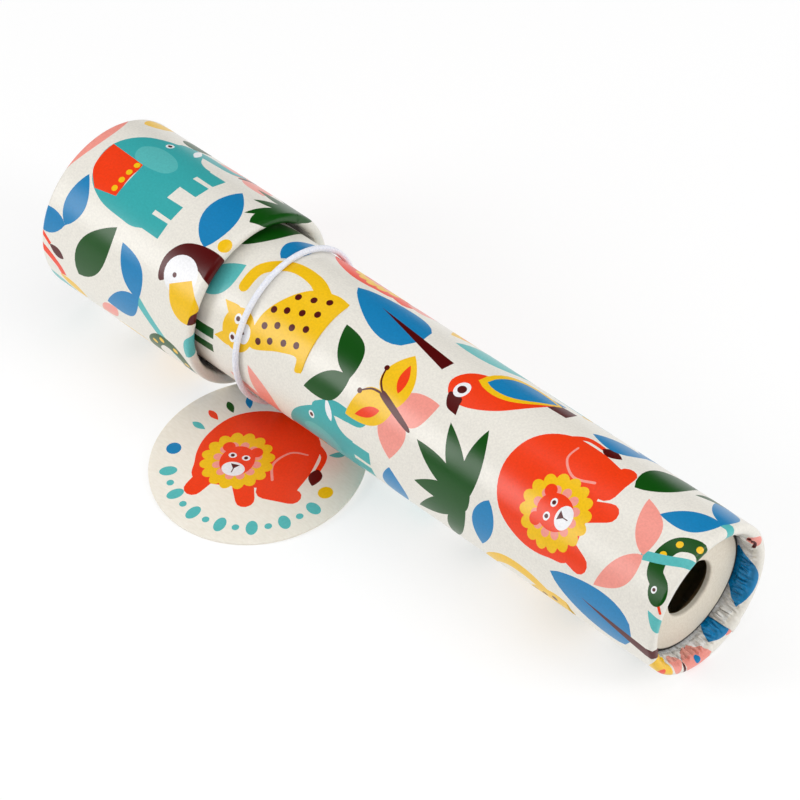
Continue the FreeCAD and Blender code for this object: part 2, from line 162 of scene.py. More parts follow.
class Look:
    """A Principled material, and short ways to wire noise and bumps into it."""

    def __init__(self, name, colour, roughness=0.5, **values):
        self.material = bpy.data.materials.new(name)
        self.material.use_nodes = True
        self.tree = self.material.node_tree
        self.shader = self.tree.nodes["Principled BSDF"]
        self.shader.inputs["Base Color"].default_value = linear(colour)
        self.shader.inputs["Roughness"].default_value = roughness
        for key, value in values.items():
            self.shader.inputs[key.replace("_", " ")].default_value = value
        self.place = self.node("ShaderNodeTexCoord", {})["Object"]

    def node(self, kind, inputs, **settings):
        """Outputs of a new node, each of its inputs set to a value or linked from a socket."""
        node = self.tree.nodes.new(kind)
        for key, value in settings.items():
            setattr(node, key, value)
        for key, value in inputs.items():
            if isinstance(value, bpy.types.NodeSocket):
                self.tree.links.new(value, node.inputs[key])
            else:
                node.inputs[key].default_value = value
        return node.outputs

    def drive(self, name, socket):
        """Links a socket to one of the shader's inputs."""
        self.tree.links.new(socket, self.shader.inputs[name])
        return self

    def stretched(self, stretch):
        """The mesh's coordinates, scaled differently along each axis."""
        return self.node("ShaderNodeMapping", {"Scale": stretch, "Vector": self.place})["Vector"]

    def noise(self, scale, detail, stretch=(1, 1, 1)):
        inputs = {"Scale": scale, "Detail": detail, "Vector": self.stretched(stretch)}
        return self.node("ShaderNodeTexNoise", inputs)["Fac"]

    def wave(self, scale, distortion, stretch):
        inputs = {"Scale": scale, "Distortion": distortion, "Vector": self.stretched(stretch)}
        return self.node("ShaderNodeTexWave", inputs)["Fac"]

    def remap(self, value, low, high, start=0.3, end=0.7):
        ranges = {"Value": value, "From Min": start, "From Max": end, "To Min": low, "To Max": high}
        return self.node("ShaderNodeMapRange", ranges)["Result"]

    def rough(self, value, low, high):
        return self.drive("Roughness", self.remap(value, low, high))

    def colour(self, share, first, second):
        """Base colour that goes from the first to the second; each is RGBA or a socket."""
        inputs = {MIX_SHARE: share, MIX_FIRST: first, MIX_SECOND: second}
        return self.drive("Base Color", self.node("ShaderNodeMix", inputs, data_type="RGBA")[MIX_RESULT])

    def mottle(self, value, first, second):
        """Base colour that wanders between two colours."""
        return self.colour(self.remap(value, 0, 1), linear(first), linear(second))

    def bump(self, value, height, strength=1.0):
        """Adds a bump of that height in metres on top of any earlier one."""
        inputs = {"Distance": height, "Strength": strength, "Height": value}
        for earlier in self.shader.inputs["Normal"].links:
            inputs["Normal"] = earlier.from_socket
        return self.drive("Normal", self.node("ShaderNodeBump", inputs)["Normal"])


def printed_looks():
    """One satin, film-laminated ink for each printed colour, over the same soft paper grain. Each has a
    creased twin for where the paper is crumpled down inside a tube's end, whose lighter and darker streaks
    are painted highlight and painted shade of the creases."""
    looks = {}
    for ink, colour in INKS.items():
        smooth = Look(f"print_{ink}", colour, Specular_IOR_Level=0.42)
        smooth.mottle(smooth.noise(2200, 4), shaded(colour, 1.02), shaded(colour, 0.97))
        smooth.rough(smooth.noise(90, 2), 0.28, 0.34)
        smooth.bump(smooth.noise(110, 2), 0.00014, 0.5)
        smooth.bump(smooth.noise(2400, 3), 0.000012, 0.7)
        looks[ink] = smooth.material
        creased = Look(f"creased_{ink}", colour, Specular_IOR_Level=0.5)
        # Painted highlight and painted shade: streaks along the creases a fifth lighter and about a sixth
        # darker than the ink, which also lift the crumpled paper lying in the bore's shade.
        creased.mottle(creased.noise(1500, 3, (0.08, 1, 1)), shaded(colour, 1.2), shaded(colour, 0.84))
        creased.rough(creased.noise(900, 4), 0.2, 0.34)
        creased.bump(creased.noise(800, 3, (0.1, 1, 1)), 0.0012, 1.0)
        looks[CREASED_PAINTED_LIGHT_AND_SHADE + ink] = creased.material
    return looks


def board(name, light, dark, roughness):
    """Uncoated board with fibres and a faint tooth."""
    look = Look(name, light, roughness)
    look.mottle(look.noise(700, 6, (1, 3, 3)), light, dark)
    look.rough(look.noise(1500, 3), roughness - 0.1, roughness + 0.08)
    return look.bump(look.noise(3200, 5), 0.00003, 0.8)


def card_look(name, light, dark, roughness=0.85):
    """The board's material."""
    return board(name, light, dark, roughness).material


def eyepiece_look():
    """Cream board with painted shade along the last 0.7 mm of its rounded rim: the shadow of the gap round
    the disc.
    """
    look = board("eyepiece_board_painted_rim_shade", "E8E0D0", "DDD3C1", 0.62)
    scale = 1 / (MM * EYEPIECE_RADIUS)
    middle = START + MM * (TOTAL_LENGTH - EYEPIECE_DEPTH) * AXIS
    mapping = {"Scale": (scale, scale, scale), "Location": -scale * middle, "Vector": look.place}
    from_middle = look.node("ShaderNodeMapping", mapping)["Vector"]
    inwards = look.node("ShaderNodeTexGradient", {"Vector": from_middle}, gradient_type="SPHERICAL")["Fac"]
    fibres = look.shader.inputs["Base Color"].links[0].from_socket
    # Painted shade: the board turns near black towards its rim, standing in for the shadowed gap between the
    # disc and the bore.
    return look.colour(look.remap(inwards, 1, 0, 0.05, 0.065), fibres, linear("1E1712")).material


def corrugated_look():
    """Brown packing card with flutes."""
    look = Look("corrugated_card", "A98B62", 0.9)
    look.mottle(look.noise(500, 6, (1, 4, 4)), "A98B62", "8C6F49")
    look.bump(look.wave(90, 0.5, (1, 0.2, 0.2)), 0.0004)
    return look.bump(look.noise(2500, 5), 0.00004, 0.7).material


def clear_look(name, roughness, tint, frost=0.0):
    """Clear or frosted plastic sheet with faint scuffs."""
    look = Look(name, tint, roughness, Transmission_Weight=1.0, IOR=1.46)
    look.rough(look.noise(600, 5, (1, 1, 5)), roughness, roughness + 0.06)
    if frost:
        look.bump(look.noise(2600, 4), frost, 0.7)
    return look.material


def mirror_look():
    """Silvered strip with a trace of handling marks."""
    look = Look("mirror", "E6E8EA", 0.03, Metallic=1.0)
    look.rough(look.noise(300, 5, (0.3, 1, 1)), 0.02, 0.08)
    return look.bump(look.noise(60, 2), 0.00001, 0.4).material


def bead_look(name, colour):
    """Translucent moulded bead with flow marks."""
    look = Look(name, colour, 0.12, Transmission_Weight=0.55, IOR=1.49)
    look.rough(look.noise(900, 3), 0.08, 0.2)
    return look.bump(look.noise(1400, 2), 0.00002, 0.5).material


def elastic_look():
    """White polyester yarn: sheen, and fine filaments along the strands."""
    look = Look("elastic_yarn", "F2F3F9", 0.55, Sheen_Weight=0.3, Sheen_Roughness=0.4)
    look.mottle(look.noise(2600, 3), "F6F7FC", "DFE3F1")
    look.rough(look.noise(1800, 3), 0.45, 0.7)
    return look.bump(look.noise(5200, 4), 0.00005, 0.8).material


# ---- flat drawing

CURVE_STEPS = 6


def closed_curve(points):
    """Closed outline through the points. A third item marks a sharp corner; the rest are smooth."""
    count = len(points)
    outline = []
    for i in range(count):
        before, here, there, after = (points[(i + k) % count] for k in (-1, 0, 1, 2))
        chord = (there[0] - here[0], there[1] - here[1])
        leave = chord if len(here) > 2 else ((there[0] - before[0]) / 2, (there[1] - before[1]) / 2)
        arrive = chord if len(there) > 2 else ((after[0] - here[0]) / 2, (after[1] - here[1]) / 2)
        pieces = 1 if len(here) > 2 and len(there) > 2 else CURVE_STEPS
        for k in range(pieces):
            outline.append(hermite(here, there, leave, arrive, k / pieces))
    return outline


def hermite(here, there, leave, arrive, t):
    """The point a share t of the way along a cubic that leaves and arrives with those slopes."""
    a = 2 * t**3 - 3 * t**2 + 1
    b = t**3 - 2 * t**2 + t
    c = -2 * t**3 + 3 * t**2
    d = t**3 - t**2
    return tuple(a * here[i] + b * leave[i] + c * there[i] + d * arrive[i] for i in (0, 1))


def open_curve(points, steps):
    """Smooth line through the points."""
    line = []
    last = len(points) - 1
    for i in range(last):
        before, here, there, after = points[max(i - 1, 0)], points[i], points[i + 1], points[min(i + 2, last)]
        leave = tuple((there[k] - before[k]) / 2 for k in (0, 1))
        arrive = tuple((after[k] - here[k]) / 2 for k in (0, 1))
        line += [hermite(here, there, leave, arrive, k / steps) for k in range(steps)]
    return line + [points[-1]]


def turned(outline, turn, x=0.0, y=0.0):
    """The outline turned anticlockwise about the origin, then moved."""
    cosine, sine = cos(radians(turn)), sin(radians(turn))
    return [(x + px * cosine - py * sine, y + px * sine + py * cosine) for px, py in outline]


def polar(reach, angle, x=0, y=0):
    """The point that far from (x, y), at an angle."""
    return x + reach * cos(angle), y + reach * sin(angle)


def oval(x, y, wide, tall, turn=0, count=26):
    """Ellipse of two half-axes about a middle."""
    angles = [tau * i / count for i in range(count)]
    return turned([(wide * cos(a), tall * sin(a)) for a in angles], turn, x, y)


def dot(x, y, radius):
    return oval(x, y, radius, radius, count=max(10, int(14 * radius**0.5)))


def leaf(x, y, length, width, turn=0, bend=0.0, blunt=False):
    """Pointed leaf from its base at (x, y); at turn 0 it points up. bend bows its middle sideways."""
    steps = 14
    lean, swell = (0.62, 0.72) if blunt else (0.85, 0.9)
    right, left = [], []
    for i in range(steps + 1):
        t = i / steps
        half = width / 2 * sin(pi * t**lean) ** swell if 0 < i < steps else 0
        bow = bend * sin(pi * t)
        right.append((bow + half, length * t))
        left.append((bow - half, length * t))
    return turned(right + left[-2:0:-1], turn, x, y)


def ribbon(points, start, end, round_ends=True, steps=CURVE_STEPS):
    """A brush stroke along a smooth line, whose width goes from start to end."""
    line = open_curve(points, steps)
    left, right = [], []
    for i, here in enumerate(line):
        before, after = line[max(i - 1, 0)], line[min(i + 1, len(line) - 1)]
        dx, dy = after[0] - before[0], after[1] - before[1]
        size = hypot(dx, dy)
        half = (start + (end - start) * i / (len(line) - 1)) / 2
        left.append((here[0] - dy / size * half, here[1] + dx / size * half))
        right.append((here[0] + dy / size * half, here[1] - dx / size * half))
    outline = right + cap(line[-2], line[-1], end / 2, round_ends) + left[::-1]
    return outline + cap(line[1], line[0], start / 2, round_ends)


def cap(before, tip, radius, wanted):
    """Points of a round end between a stroke's two sides."""
    if not wanted:
        return []
    heading = atan2(tip[1] - before[1], tip[0] - before[0])
    angles = [heading + radians(a) for a in (-60, -30, 0, 30, 60)]
    return [polar(radius, a, *tip) for a in angles]


def area(ink, *points):
    """A shape in one ink, its outline a closed curve through the points."""
    return ink, closed_curve(points)


def eye(x, y, size):
    """A dark pupil on white."""
    return [("white", oval(x, y, size * 1.25, size)), ("maroon", dot(x, y, size * 0.62))]


# ---- motifs, in millimetres

def one_leaf(ink, length, width):
    return [(ink, leaf(0, -length / 2, length, width))]


def spot(ink, radius):
    return [(ink, dot(0, 0, radius))]


def branch(ink, points, width):
    """A stem along a smooth line."""
    return [(ink, ribbon(points, width, width, False))]


def leaf_pair(ink, length, width, spread, stem=None, stem_length=0):
    """Two leaves that meet at the bottom, with or without a stem."""
    shapes = branch(stem, [(0, 1.5), (0.3, -stem_length / 2), (0, -stem_length)], 2) if stem else []
    return shapes + [(ink, leaf(0, 0, length, width, -side * spread / 2, side * 0.8)) for side in (-1, 1)]


def big_leaf(length, width, stem_length, ink="blue", stem="maroon"):
    """A broad leaf whose stalk runs up into its middle."""
    foot = -stem_length
    return [(ink, leaf(0, 0, length, width, blunt=True)),
            area(stem, (-1.6, foot, 1), (1.4, foot, 1), (0.9, 0), (0.1, length * 0.62, 1), (-1, 0))]


def frond(size):
    """Six slender fingers that fan out from one foot."""
    fingers = ((-80, 0.95), (-49, 1), (-20, 1.02), (12, 0.86), (38, 1.03), (72, 0.98))
    shapes = [area("green", (-2.4, 0), (0, -1), (2.8, 0), (2.4, 3.6), (0, 5), (-2.4, 3.6))]
    return shapes + [("green", leaf(0, 0, size * share, size * 0.27, turn)) for turn, share in fingers]


def butterfly():
    shapes = []
    for side in (-1, 1):
        shapes += [
            ("pink", leaf(0, 0.5, 10.5, 7.2, -side * 128, side * 0.8)),
            ("yellow", leaf(0, 0, 12.2, 7.8, -side * 52, -side)),
            ("orange", leaf(side * 2.6, 2, 6.4, 2.2, -side * 54)),
            ("maroon", ribbon([(0, 4), (side * 1.2, 6.6), (side * 3.4, 8.2)], 0.5, 0.35)),
            ("maroon", dot(side * 3.6, 8.3, 0.6)),
        ]
    return shapes + [area("maroon", (-0.5, -5), (0.5, -5), (0.75, 3.6), (0, 4.6), (-0.75, 3.6))]


def spotted_cat():
    """A sitting cat with dark spots, its tail held up in an arc."""
    tail = [(7.2, -6), (9.6, -1), (9.4, 5), (5.4, 9.6), (0.6, 10.2)]
    spots = ((-1.2, (-5.6, -2.2, 1.2, 4.6)), (-4.3, (-4.4, -1, 2.4, 5.8)), (-7.2, (-3.4, 0.2, 3.8, 7.2)),
             (1.4, (-7, -3.6, 0)))
    head = -7.4
    shapes = [("yellow", ribbon(tail, 3.2, 2.4)),
              area("yellow", (-9, 3), (-3.4, 3.4), (1.6, 1.6), (7.2, -2.2), (9.4, -7), (9.2, -10.6, 1),
                   (-7.6, -10.6, 1), (-7.9, -9), (-5.4, -8.2), (-6.6, -3.6))]
    for side in (-1, 1):
        ear = [(head + side * 1.6, 9.6), (head + side * 4.2, 8.4), (head + side * 3.9, 12.4, 1)]
        shapes.append(area("yellow", *ear))
    shapes += [("yellow", oval(head, 6.8, 4.5, 4.1)), ("white", oval(head, 5.1, 2.1, 1.5)),
               area("maroon", (-8.1, 6, 1), (-6.7, 6, 1), (head, 5, 1))]
    for side in (-1, 1):
        shapes += eye(head + side * 2.0, 7.7, 0.85)
    return shapes + [("maroon", dot(x, y, 0.72)) for y, places in spots for x in places]


def elephant():
    """A standing elephant that faces right, with a plain saddlecloth."""
    trunk = [(11, 2.6), (13.4, -1), (13.8, -5), (14.2, -8.4), (16.2, -9.8)]
    shapes = [("teal", ribbon(trunk, 3.8, 1.8)),
              area("teal", (-11.8, -2), (-11, 5), (-7.6, 10.4), (-0.6, 12.4), (6.4, 9.8), (11, 4.4),
                   (12.6, -0.6), (10, -3.4), (9, -5.4), (8.8, -7.4, 1), (-11, -7.4, 1), (-11.8, -5))]
    for x in (-9.3, -4.8, 2.2, 6.8):
        shapes.append(area("teal", (x - 1.7, -6, 1), (x - 1.8, -12, 1), (x + 1.8, -12, 1), (x + 1.7, -6, 1)))
    shapes.append(area("orange", (-9.6, 8, 1), (-6.6, 11.1), (-3, 12.1), (0.4, 12.3, 1), (0, 3, 1),
                       (-8.6, 2.4, 1)))
    shapes += [("yellow", dot(x, 3.9, 0.7)) for x in (-7.4, -5.2, -3, -0.8)]
    shapes.append(area("mint", (0.2, 5.4), (3.6, 7.4), (6.2, 4.6), (6, 0), (3.6, -3), (0.8, -1.6)))
    return shapes + [("white", leaf(10.2, -1.2, 5, 1.6, -62))] + eye(8.6, 4.4, 0.8)


def lion():
    """A lion that lies down with its head low in front, a scalloped mane and a tufted tail."""
    shapes = [("orange", ribbon([(9.4, 6.4), (13, 3.4), (13.2, -1)], 1.5, 1.1)),
              ("maroon", leaf(13.1, -0.4, 4.6, 2.9, 186)),
              area("orange", (-12.6, -5), (-13, 2), (-9.4, 9), (-2, 12.4), (6, 11.2), (11.2, 6.2), (12, -1),
                   (11, -7, 1), (-9, -10))]
    for start, finish in (((-8.6, -8), (-10, -12)), ((-0.6, -8), (1.6, -12.2)), ((5, -8.6), (10.6, -8.8))):
        shapes.append(("orange", ribbon([start, finish], 4.6, 4, steps=2)))
    shapes.append(("pink", ribbon([(5, -5.6), (3.6, -1.4), (6, 2.4), (9.6, 2.8)], 0.6, 0.4)))
    return shapes + lion_head(-4, -2.6)


def lion_head(x, y):
    """A round face in a mane of two rings of petals."""
    shapes = []
    for ink, petals, reach, long, wide in (("yellow", 16, 5.9, 2.0, 1.45), ("pink", 12, 4.2, 1.1, 0.95)):
        for i in range(petals):
            angle = tau * i / petals
            shapes.append((ink, oval(*polar(reach, angle, x, y), long, wide, degrees(angle), 16)))
        if ink == "yellow":
            shapes.append((ink, dot(x, y, reach)))
    shapes += [("orange", dot(x + side * 3.1, y + 3.2, 1.35)) for side in (-1, 1)]
    shapes += [("orange", oval(x, y, 3.7, 4.1)), ("white", oval(x, y - 2.3, 2.5, 1.9)),
               area("maroon", (x - 1, y - 1, 1), (x + 1, y - 1, 1), (x, y - 2.3, 1)),
               ("maroon", ribbon([(x, y - 2.2), (x, y - 3.2)], 0.22, 0.22, steps=2))]
    for side in (-1, 1):
        shapes += eye(x + side * 1.5, y + 1.2, 0.72)
    return shapes


def parrot():
    """A perching parrot that faces left."""
    return [area("maroon", (4.2, -6, 1), (7.8, -6.4, 1), (8.6, -11.6, 1), (4.6, -11.8, 1)),
            ("blue", leaf(1.5, 2, 13, 5, 216)),
            area("orange", (-3.8, 11), (0.6, 9), (3.6, 3.6), (6.4, -2.4), (8, -8, 1), (2.4, -6.4),
                 (-3.6, -2.2), (-7, 3.6), (-7.2, 8.4)),
            ("yellow", leaf(-0.4, 7, 17.4, 9.6, 208, -0.6)),
            ("blue", leaf(0.5, 5.4, 14.6, 7.2, 208, -0.6)),
            area("maroon", (-6.2, 9.2), (-9, 7.6), (-9.6, 4.6, 1), (-7.6, 5.4), (-6, 6.2)),
            *eye(-4.4, 7.6, 1.6)]


def toucan():
    """A perching toucan that faces left, its beak tipped dark."""
    return [area("maroon", (-3.6, 5.6), (1, 7), (5.6, 4.6), (7.6, -0.6), (7.4, -7), (5, -12.4), (0.6, -14.6),
                 (-0.6, -10), (1.6, -5), (2.4, 0)),
            ("white", oval(-0.2, 1.2, 4.3, 4.4)),
            area("yellow", (-3, 3, 1), (-7, 1), (-9, -2.6), (-8, -8.6, 1), (-4, -5.8), (0.2, -2, 1)),
            area("maroon", (-8.9, -4.4, 1), (-8, -8.6, 1), (-5.2, -6.6, 1), (-6.6, -4.8)),
            *eye(-0.8, 2.6, 0.9)]


def snake():
    """A dotted snake that bends over, its head hanging at the left."""
    line = [(-3.4, 0.2), (-2, 1.9), (1.4, 2.5), (4.8, 1.2), (6.2, -2.6), (4, -6.2), (-1, -8.2), (-4.6, -9.8)]
    shapes = [("green", ribbon(line, 3.4, 3)),
              ("orange", ribbon([(-6, -1.2), (-8.4, -3)], 0.7, 0.5, steps=2)),
              ("green", oval(-4.8, -0.6, 3, 2.1, 20))] + eye(-5, 0.2, 0.6)
    return shapes + [("yellow", dot(*place, 0.75)) for place in line[2:]]


# ---- artwork on the two tubes

# (motif, place along the toy, angle from the top, turn, size), listed from the bottom layer up. Where the
# size is left out it is 1, and where the turn is too it is 0.
BODY_ART = [
    (one_leaf("blue", 11.5, 5.6), 54, 22, -88),
    (one_leaf("green", 18, 7), 45.6, 24, -96),
    (one_leaf("mint", 11, 6), 47, -34, -120),
    (branch("green", [(0, 3), (0, 0), (0.2, -3)], 2.4), 47, -76),
    (branch("green", [(0, 3), (0, 0), (0.2, -3)], 2), 47, -89),
    (leaf_pair("pink", 14.5, 5.6, 34), 67, -126, -46),
    (lion(), 68, 75),
    (spotted_cat(), 63.4, -33, 0, 1.06),
    (big_leaf(21.5, 11.5, 9), 92.6, 8.5, -9),
    (elephant(), 83.6, -116),
    (leaf_pair("green", 12, 6, 82), 86, -43.6, -6),
    (one_leaf("pink", 7, 5), 83, 48, 24),
    (one_leaf("mint", 19, 8.6), 104.8, 45, 28),
    (butterfly(), 98.4, -44.7, -20),
    (one_leaf("blue", 11, 6.6), 101.8, -105, -84),
    (parrot(), 115.6, 9),
    (frond(16), 121.6, -72),
    (spot("yellow", 1.3), 128, 49),
    (one_leaf("blue", 11.5, 5.6), 126.6, -80, 88),
    (lion(), 138.4, -27.5),
    (spotted_cat(), 137.4, -135, 0, 1.04),
    (leaf_pair("blue", 11.5, 6, 84), 144.6, 42, -20),
    (big_leaf(21.5, 10.6, 9), 165.6, -93, -10),
    (one_leaf("green", 16.4, 8), 153, 31, -108),
    (snake(), 167.4, -30),
    (branch("mint", [(0, 0.5), (1.6, -4.2), (3.6, -9), (4.4, -13)], 1.9), 161.6, -33),
    (leaf_pair("pink", 12.4, 5.2, 112), 161.6, -32.6, 1),
    (branch("mint", [(0, 1), (0.2, -2), (-0.8, -5), (-2, -8)], 2.2), 168.4, 20.5),
    (leaf_pair("blue", 12, 5.8, 85), 168.6, 20, -9),
    (one_leaf("mint", 7.4, 2.8), 170.8, -69, -36),
    # the far side and the underside
    (butterfly(), 97, 78, 20),
    (elephant(), 122, 90),
    (frond(14), 165, 76, -10),
    (big_leaf(16, 8, 6), 92, 128, 8),
    (spotted_cat(), 62, 152),
    (leaf_pair("green", 12, 6, 84), 149, 118, 16),
    (leaf_pair("pink", 11, 6, 80), 85, 158),
    (big_leaf(16, 8, 6, "mint", "green"), 112, -192),
    (leaf_pair("mint", 12, 6, 84), 128, -200, 12),
    (frond(14), 163, -176, 6),
    (frond(13), 146, -172),
    (big_leaf(16, 8, 6), 62, -154, -16),
    (one_leaf("mint", 14, 7), 100, -160, 60),
    (leaf_pair("green", 11, 6, 84), 121, -160, 10),
    (leaf_pair("blue", 11, 5.6, 84), 131, 152, 20),
    (one_leaf("yellow", 11, 5.6), 80, -192, -40),
    (leaf_pair("mint", 9, 5, 84), 50, 88, 160),
    (leaf_pair("blue", 10, 5, 80), 51, -188, 14),
    # what comes over the lip and down inside the eye end
    (one_leaf("pink", 5, 3.4), 172.4, 66, 88),
    (branch("maroon", [(-2.2, 0), (0, 0.7), (2.2, 0.2)], 0.7), 173.2, 69),
    (one_leaf("blue", 15, 7.6), 175.2, 113, -76),
    (one_leaf("pink", 5, 2.4), 172, -208, -84),
    (one_leaf("blue", 8.8, 6), 174.8, -200, -70),
    (one_leaf("pink", 8.6, 7), 172.3, -168, 80),
    (spot("blue", 0.9), 172.2, -168),
    (branch("maroon", [(-0.8, 3), (0.4, 0), (0, -3)], 0.8), 172.4, -153),
    (one_leaf("pink", 5, 4), 172.8, -143, 20),
    (one_leaf("yellow", 12, 5.4), 171, -121, 80),
    (one_leaf("orange", 3, 1.8), 170.4, -124, 80),
    (one_leaf("blue", 10, 5), 178, -110, 60),
    (leaf_pair("green", 9, 5, 80), 180, -70, 180),
    (one_leaf("pink", 8, 5), 177, -20, 60),
    (one_leaf("blue", 9, 5), 178, 30, -60),
]
DRUM_ART = [
    (one_leaf("pink", 19, 4.6), 0.2, -5, 90),
    (one_leaf("yellow", 9, 4.6), 3.6, 41, -100),
    (one_leaf("green", 8, 7), 13.6, 47, -60),
    (butterfly(), 30, 54, -96),
    (frond(13), 47.6, 42, 24),
    (one_leaf("green", 10, 5), 45.6, 18, -104),
    (elephant(), 17.8, -3.4, 0, 1.05),
    (one_leaf("blue", 17.8, 8), 38.4, -1.6, -71),
    (one_leaf("green", 17.6, 8), 15.9, -66.8, -117),
    (leaf_pair("blue", 12.2, 5.8, 92), 6.6, -62, -42),
    (branch("orange", [(1.6, 5.6), (1, 2), (-1.2, -1.4)], 1), 1.6, -77),
    (one_leaf("maroon", 4.8, 2.4), 5, -83, -20),
    (branch("orange", [(1.4, 5), (0.4, 1.4), (-2.2, -2.4), (-4.6, -3.4)], 1.9), 2.6, -88),
    (branch("mint", [(0, 0.6), (-3.6, -4), (-7.6, -8.4), (-11.6, -12)], 2), 31, -76.9),
    (toucan(), 41.2, -46.6),
    (leaf_pair("blue", 12.4, 6, 82), 31, -76.9, -8),
    (one_leaf("yellow", 8, 4), 8, -108, -30),
    (leaf_pair("mint", 11, 5.6, 84), 6, -134, -20),
    (one_leaf("pink", 9, 4), 20, -106, 40),
    (snake(), 36, -112, -30),
    (one_leaf("mint", 8, 4.6), 47, -88, 60),
    (spot("yellow", 1.6), 45, -18),
    # the far side and the underside
    (spotted_cat(), 27, -148),
    (lion(), 17, 104),
    (leaf_pair("blue", 10, 5.4, 84, "mint", 6), 37.6, 86, 20),
    (toucan(), 41, 124),
    (leaf_pair("mint", 11, 6, 84), 12, 150),
    (frond(13), 43, 160, -14),
    (leaf_pair("green", 11, 6, 80), 10, -192, 20),
    (big_leaf(15, 8, 5), 25, -190, 10),
    (leaf_pair("green", 11, 6, 84), 22, -156, -16),
    (leaf_pair("mint", 10, 5, 80), 43, -176, 12),
    (one_leaf("blue", 12, 6), 41, -132, 64),
    (one_leaf("pink", 10, 4.4), -0.5, 70, 84),
    (one_leaf("blue", 12, 5), 0.4, 108, 80),
    (one_leaf("yellow", 9, 4.4), 0.2, 142, 96),
    (one_leaf("mint", 12, 5), 0, -176, 88),
    (one_leaf("green", 11, 4.6), 0, -140, 92),
]


def placed(art, radius):
    """The artwork's shapes on the unrolled sheet: along the toy, and round it at the tube's radius."""
    shapes = []
    for motif, along, angle, *rest in art:
        turn, size = rest + [0, 1][len(rest):]
        middle = radius * radians(angle)
        for ink, outline in motif:
            moved = turned([(size * x, size * y) for x, y in outline], turn)
            shapes.append((ink, [(along - y, middle + x) for x, y in moved]))
    return shapes


# ---- sheets of paper

def counter_clockwise(outline):
    area = sum(a[0] * b[1] - b[0] * a[1] for a, b in zip(outline, outline[1:] + outline[:1]))
    return outline if area > 0 else outline[::-1]


def cut(border, shapes, grid):
    """Cuts a flat sheet along its shapes. Returns its points, its triangles and each triangle's ink.
    A shape whose ink is None is a hole."""
    points, faces = [], []
    for outline in [border] + [outline for _, outline in shapes]:
        faces.append(list(range(len(points), len(points) + len(outline))))
        points += counter_clockwise(list(outline))
    flat = [Vector(p) for p in points + grid]
    verts, _, triangles, _, _, sources = delaunay_2d_cdt(flat, [], faces, 1, 1e-4, True)
    kept, inks = [], []
    for triangle, source in zip(triangles, sources):
        if 0 not in source:
            continue
        top = max(source)
        ink = "paper" if top == 0 else shapes[top - 1][0]
        if ink is not None:
            kept.append(tuple(triangle))
            inks.append(ink)
    used = sorted({i for triangle in kept for i in triangle})
    number = {old: new for new, old in enumerate(used)}
    return [tuple(verts[i]) for i in used], [tuple(number[i] for i in t) for t in kept], inks


def rims(triangles):
    """The sheet's open edges, as closed loops of point numbers, with the sheet on their left."""
    edges = set()
    for a, b, c in triangles:
        edges |= {(a, b), (b, c), (c, a)}
    after = {a: b for a, b in edges if (b, a) not in edges}
    loops = []
    while after:
        start, here = next(iter(after.items()))
        loop = [start]
        del after[start]
        while here != start:
            loop.append(here)
            here = after.pop(here)
        loops.append(loop)
    return loops


def paper_piece(name, border, shapes, front_grid, back_grid, front, back, looks, body, node,
                crease=(0, 0)):
    """A sheet of real thickness: the printed side, the plain side and the cut edges between them.
    front and back give the place of a point of the flat sheet on either side. Outside crease, a stretch
    of the sheet's length, the printed side is creased and takes the creased inks with their painted highlight
    and shade."""
    verts, triangles, inks = cut(border, shapes, front_grid)
    if crease[0] < crease[1]:
        middles = [sum(verts[i][0] for i in triangle) / 3 for triangle in triangles]
        inks = [ink if crease[0] < u < crease[1] else CREASED_PAINTED_LIGHT_AND_SHADE + ink for u, ink in zip(middles, inks)]
    loops = rims(triangles)
    outer = widest(loops, verts)
    holes = [(None, [verts[i] for i in loop]) for loop in loops if loop is not outer]
    back_verts, back_triangles, _ = cut([verts[i] for i in outer], holes, back_grid)
    match = {key(v): len(verts) + i for i, v in enumerate(back_verts)}
    names = sorted(set(inks) | {"paper"})
    places = [front(*v) for v in verts] + [back(*v) for v in back_verts]
    faces = list(triangles) + [tuple(len(verts) + i for i in reversed(t)) for t in back_triangles]
    slots = [names.index(ink) for ink in inks] + [names.index("paper")] * len(back_triangles)
    for loop in loops:
        for a, b in zip(loop, loop[1:] + loop[:1]):
            if key(verts[a]) in match and key(verts[b]) in match:
                faces.append((b, a, match[key(verts[a])], match[key(verts[b])]))
                slots.append(names.index("paper"))
    mesh = bpy.data.meshes.new(name)
    mesh.from_pydata(places, [], faces)
    for ink in names:
        mesh.materials.append(looks[ink])
    mesh.polygons.foreach_set("material_index", slots)
    mesh.polygons.foreach_set("use_smooth", [True] * len(faces))
    mesh.update()
    normals = [normal_of(front, *v) for v in verts] + [-normal_of(back, *v) for v in back_verts]
    first_cut_edge = len(triangles) + len(back_triangles)
    split = []
    for polygon in mesh.polygons:
        for vertex in polygon.vertices:
            split.append(polygon.normal.copy() if polygon.index >= first_cut_edge else normals[vertex])
    mesh.normals_split_custom_set(split)
    piece = new_object(name, mesh)
    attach(piece, body)
    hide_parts(node)
    return piece


def key(v):
    """A flat point, rounded so that it is found again on the sheet's other side."""
    return round(v[0], 3), round(v[1], 3)


def widest(loops, verts):
    """The loop that reaches furthest, which is the sheet's outside."""
    return max(loops, key=lambda loop: max(verts[i][0] for i in loop) - min(verts[i][0] for i in loop))


def normal_of(surface, u, v, step=0.02):
    """A surface's normal, from its slope both ways."""
    along = surface(u + step, v) - surface(u - step, v)
    across = surface(u, v + step) - surface(u, v - step)
    return along.cross(across).normalized()


